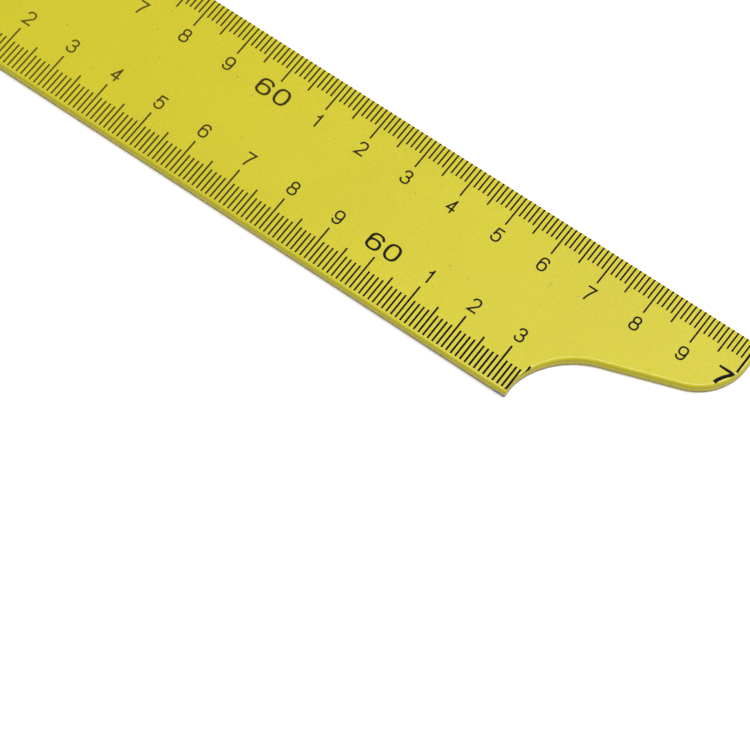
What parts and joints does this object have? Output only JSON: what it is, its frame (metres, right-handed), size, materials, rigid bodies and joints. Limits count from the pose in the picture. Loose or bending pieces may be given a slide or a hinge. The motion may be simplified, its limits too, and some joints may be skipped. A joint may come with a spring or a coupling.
{
  "type": "steel l-square",
  "caption": "Flat one-piece enamelled steel L-square with a centimetre scale printed along every long edge and a curved nose at the end of the long arm.",
  "frame": {"origin": "centre of the L's outer box in plan, on the plane of the back face", "axes": "+X along the long arm from the heel to the curved end, +Y from the short arm's end to the outer long edge, +Z out of the printed front face"},
  "size_m": [0.7008, 0.3008, 0.0023],
  "materials": {
    "enamelled_steel": "yellow stoving enamel, satin, on blanked sheet steel",
    "printing_ink": "matt black screen-printed ink"
  },
  "bodies": {
    "root": {"steel_plate": "enamelled_steel", "long_inner_10_digit_1": "printing_ink", "long_inner_10_digit_2": "printing_ink", "long_inner_10_line": "printing_ink", "long_inner_20_digit_1": "printing_ink", "long_inner_20_digit_2": "printing_ink", "long_inner_20_line": "printing_ink", "long_inner_30_digit_1": "printing_ink", "long_inner_30_digit_2": "printing_ink", "long_inner_30_line": "printing_ink", "long_inner_40_digit_1": "printing_ink", "long_inner_40_digit_2": "printing_ink", "long_inner_40_line": "printing_ink", "long_inner_50_digit_1": "printing_ink", "long_inner_50_digit_2": "printing_ink", "long_inner_50_line": "printing_ink", "long_inner_60_digit_1": "printing_ink", "long_inner_60_digit_2": "printing_ink", "long_inner_60_line": "printing_ink", "long_outer_10_digit_1": "printing_ink", "long_outer_10_digit_2": "printing_ink", "long_outer_10_line": "printing_ink", "long_outer_20_digit_1": "printing_ink", "long_outer_20_digit_2": "printing_ink", "long_outer_20_line": "printing_ink", "long_outer_30_digit_1": "printing_ink", "long_outer_30_digit_2": "printing_ink", "long_outer_30_line": "printing_ink", "long_outer_40_digit_1": "printing_ink", "long_outer_40_digit_2": "printing_ink", "long_outer_40_line": "printing_ink", "long_outer_50_digit_1": "printing_ink", "long_outer_50_digit_2": "printing_ink", "long_outer_50_line": "printing_ink", "long_outer_60_digit_1": "printing_ink", "long_outer_60_digit_2": "printing_ink", "long_outer_60_line": "printing_ink", "long_outer_70_digit_1": "printing_ink", "long_outer_70_line": "printing_ink", "short_inner_10_digit_1": "printing_ink", "short_inner_10_digit_2": "printing_ink", "short_inner_10_line": "printing_ink", "short_inner_20_digit_1": "printing_ink", "short_inner_20_digit_2": "printing_ink", "short_inner_20_line": "printing_ink", "short_outer_10_digit_1": "printing_ink", "short_outer_10_digit_2": "printing_ink", "short_outer_10_line": "printing_ink", "short_outer_20_digit_1": "printing_ink", "short_outer_20_digit_2": "printing_ink", "short_outer_20_line": "printing_ink", "short_outer_30_line": "printing_ink"}
  },
  "joints": []
}
